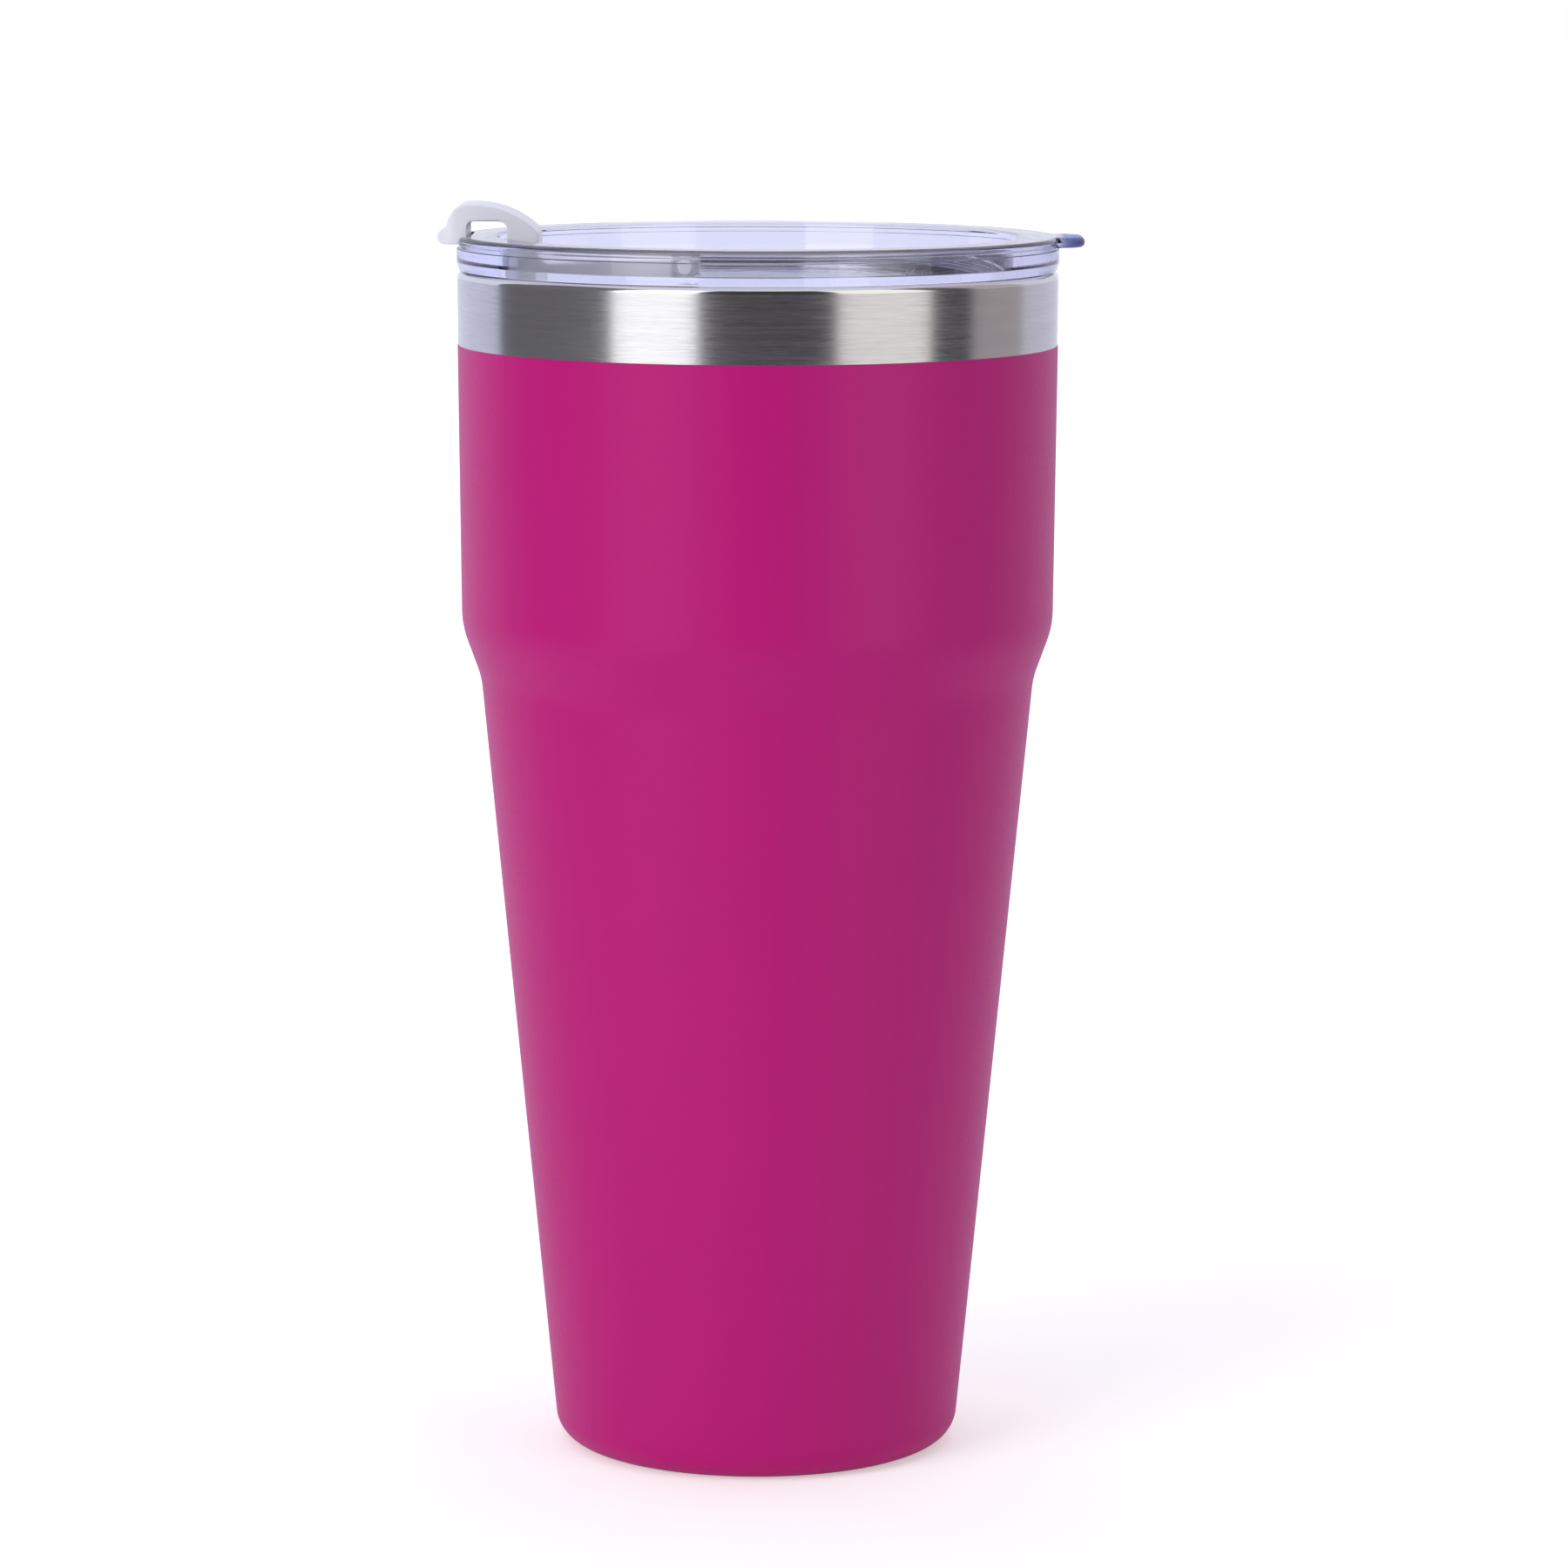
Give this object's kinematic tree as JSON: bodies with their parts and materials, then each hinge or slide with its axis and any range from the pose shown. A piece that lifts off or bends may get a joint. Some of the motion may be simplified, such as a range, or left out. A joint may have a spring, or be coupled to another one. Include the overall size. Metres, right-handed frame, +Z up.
{
  "type": "insulated tumbler with lid",
  "caption": "Double-wall vacuum tumbler with a stepped conical body, pink powder coat, bare steel lip, clear press-in lid and a hinged flip tab that bridges the rim",
  "frame": {"origin": "centre of the foot ring, on the surface that the cup stands on", "axes": "+Z up along the cup's axis; -X towards the drinking side with the flip tab; +X towards the pull tab"},
  "size_m": [0.1071, 0.1002, 0.2091],
  "materials": {
    "steel": "brushed stainless steel",
    "liner_steel": "electropolished stainless steel with a bright lip",
    "powder_coat": "satin powder coat, fine texture",
    "seal_glass": "fused glass bead",
    "getter": "sintered metal powder",
    "clear_plastic": "clear moulded copolyester, faint blue tint",
    "frosted_plastic": "translucent frosted polypropylene",
    "silicone": "translucent silicone"
  },
  "bodies": {
    "cup": {"outer_shell": "steel", "inner_liner": "liner_steel", "powder_coat": "powder_coat", "base_plate": "steel", "base_cover": "steel", "vacuum_seal": "seal_glass", "getter": "getter", "getter_holder": "steel"},
    "lid": {"lid_body": "clear_plastic", "lid_gasket": "silicone"},
    "tab": {"flip_tab": "frosted_plastic", "tab_stopper": "silicone"}
  },
  "joints": [
    {"name": "lid_lift", "type": "slide", "parent": "cup", "child": "lid", "axis": [0, 0, 1], "range_m": [0, 0.03]},
    {"name": "flip_tab_hinge", "type": "hinge", "parent": "lid", "child": "tab", "pos_m": [-0.012, 0, 0.1972], "axis": [0, 1, 0], "range_deg": [0, 100]}
  ]
}
